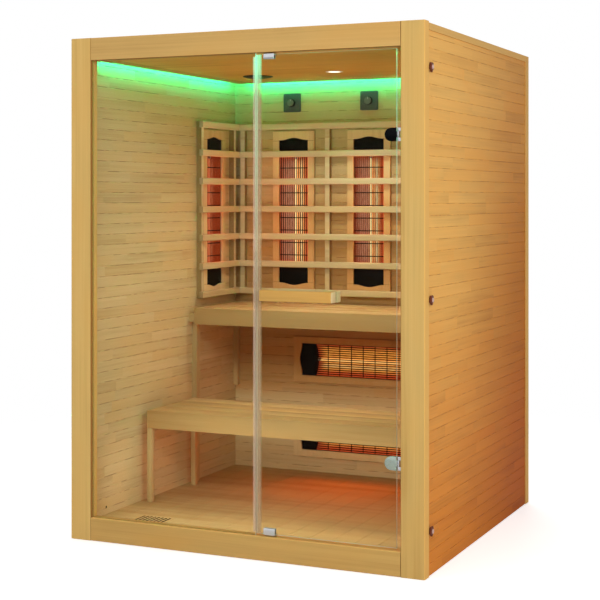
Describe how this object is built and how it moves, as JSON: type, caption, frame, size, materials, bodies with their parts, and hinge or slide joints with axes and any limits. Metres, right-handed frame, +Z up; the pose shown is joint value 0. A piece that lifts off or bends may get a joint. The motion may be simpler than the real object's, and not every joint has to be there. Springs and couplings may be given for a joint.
{
  "type": "infrared sauna cabin",
  "caption": "Timber infrared sauna cabin with a glass front, a hinged glass door, stepped benches, slatted backrests and glowing heater units behind wire guards.",
  "frame": {"origin": "on the floor, below the middle of the cabin and its door handle together", "axes": "+Z up, the glass front faces -Y, +X to the right of someone facing the front"},
  "size_m": [1.474, 1.3924, 1.94],
  "materials": {
    "frame_wood": "oiled, satin",
    "wall_wood": "planed tongue-and-groove boards",
    "bench_wood": "planed, bare",
    "glass": "clear toughened",
    "clear_seal": "clear",
    "chrome": "polished",
    "black_steel": "matt black enamel",
    "quartz": "glowing quartz",
    "grey_plastic": "fine texture",
    "brown_plastic": "moulded",
    "black_plastic": "fine texture",
    "white_plastic": "smooth",
    "green_light": "diffuser"
  },
  "bodies": {
    "cabin": {"roof_panel": "frame_wood", "front_left_stile": "frame_wood", "front_right_stile": "frame_wood", "front_top_rail": "frame_wood", "front_bottom_rail": "frame_wood", "left_wall": "wall_wood", "right_wall": "wall_wood", "back_wall": "wall_wood", "ceiling_panel": "wall_wood", "floor_panel": "bench_wood", "floor_vent_grille": "bench_wood", "upper_bench": "bench_wood", "lower_bench": "bench_wood", "upper_bench_frame": "bench_wood", "left_bench_legs": "bench_wood", "right_bench_legs": "bench_wood", "back_backrest": "bench_wood", "left_backrest": "bench_wood", "right_backrest": "bench_wood", "fixed_glass": "glass", "upper_hinge_bracket": "chrome", "lower_hinge_bracket": "chrome", "left_heater": "black_steel", "back_left_heater": "black_steel", "back_middle_heater": "black_steel", "back_right_heater": "black_steel", "right_heater": "black_steel", "bench_upper_heater": "black_steel", "bench_lower_heater": "black_steel", "left_heater_tube": "quartz", "back_left_heater_tube": "quartz", "back_middle_heater_tube": "quartz", "back_right_heater_tube": "quartz", "right_heater_tube": "quartz", "bench_upper_heater_tube": "quartz", "bench_lower_heater_tube": "quartz", "left_dimmer_plate": "grey_plastic", "middle_dimmer_plate": "grey_plastic", "right_dimmer_plate": "grey_plastic", "ceiling_speaker": "black_plastic", "control_unit": "black_plastic", "ceiling_lamp": "white_plastic", "cove_led_strip": "green_light"},
    "door": {"door_glass": "glass", "door_edge_seal": "clear_seal", "top_catch_clip": "chrome", "bottom_catch_clip": "chrome", "door_outer_handle": "frame_wood", "door_inner_handle": "frame_wood", "upper_hinge_clamp": "chrome", "lower_hinge_clamp": "chrome"},
    "left_dimmer": {"left_dimmer_knob": "grey_plastic"},
    "middle_dimmer": {"middle_dimmer_knob": "grey_plastic"},
    "right_dimmer": {"right_dimmer_knob": "grey_plastic"},
    "left_top_star": {"left_top_star_knob": "brown_plastic"},
    "left_middle_star": {"left_middle_star_knob": "brown_plastic"},
    "left_bottom_star": {"left_bottom_star_knob": "brown_plastic"},
    "right_top_star": {"right_top_star_knob": "brown_plastic"},
    "right_middle_star": {"right_middle_star_knob": "brown_plastic"},
    "right_bottom_star": {"right_bottom_star_knob": "brown_plastic"}
  },
  "joints": [
    {"name": "door_swing", "type": "hinge", "parent": "cabin", "child": "door", "pos_m": [0.622, -0.65185, 0.969], "axis": [0, 0, 1], "range_deg": [0, 95]},
    {"name": "left_dimmer_turn", "type": "hinge", "parent": "cabin", "child": "left_dimmer", "pos_m": [-0.384, 0.65115, 1.763], "axis": [0, -1, 0], "range_deg": [-135, 135]},
    {"name": "middle_dimmer_turn", "type": "hinge", "parent": "cabin", "child": "middle_dimmer", "pos_m": [0, 0.65115, 1.763], "axis": [0, -1, 0], "range_deg": [-135, 135]},
    {"name": "right_dimmer_turn", "type": "hinge", "parent": "cabin", "child": "right_dimmer", "pos_m": [0.384, 0.65115, 1.763], "axis": [0, -1, 0], "range_deg": [-135, 135]},
    {"name": "left_top_star_turn", "type": "hinge", "parent": "cabin", "child": "left_top_star", "pos_m": [-0.721, -0.61085, 1.781], "axis": [-1, 0, 0], "continuous": true},
    {"name": "left_middle_star_turn", "type": "hinge", "parent": "cabin", "child": "left_middle_star", "pos_m": [-0.721, -0.61085, 0.966], "axis": [-1, 0, 0], "continuous": true},
    {"name": "left_bottom_star_turn", "type": "hinge", "parent": "cabin", "child": "left_bottom_star", "pos_m": [-0.721, -0.61085, 0.158], "axis": [-1, 0, 0], "continuous": true},
    {"name": "right_top_star_turn", "type": "hinge", "parent": "cabin", "child": "right_top_star", "pos_m": [0.721, -0.61085, 1.781], "axis": [1, 0, 0], "continuous": true},
    {"name": "right_middle_star_turn", "type": "hinge", "parent": "cabin", "child": "right_middle_star", "pos_m": [0.721, -0.61085, 0.966], "axis": [1, 0, 0], "continuous": true},
    {"name": "right_bottom_star_turn", "type": "hinge", "parent": "cabin", "child": "right_bottom_star", "pos_m": [0.721, -0.61085, 0.158], "axis": [1, 0, 0], "continuous": true}
  ]
}
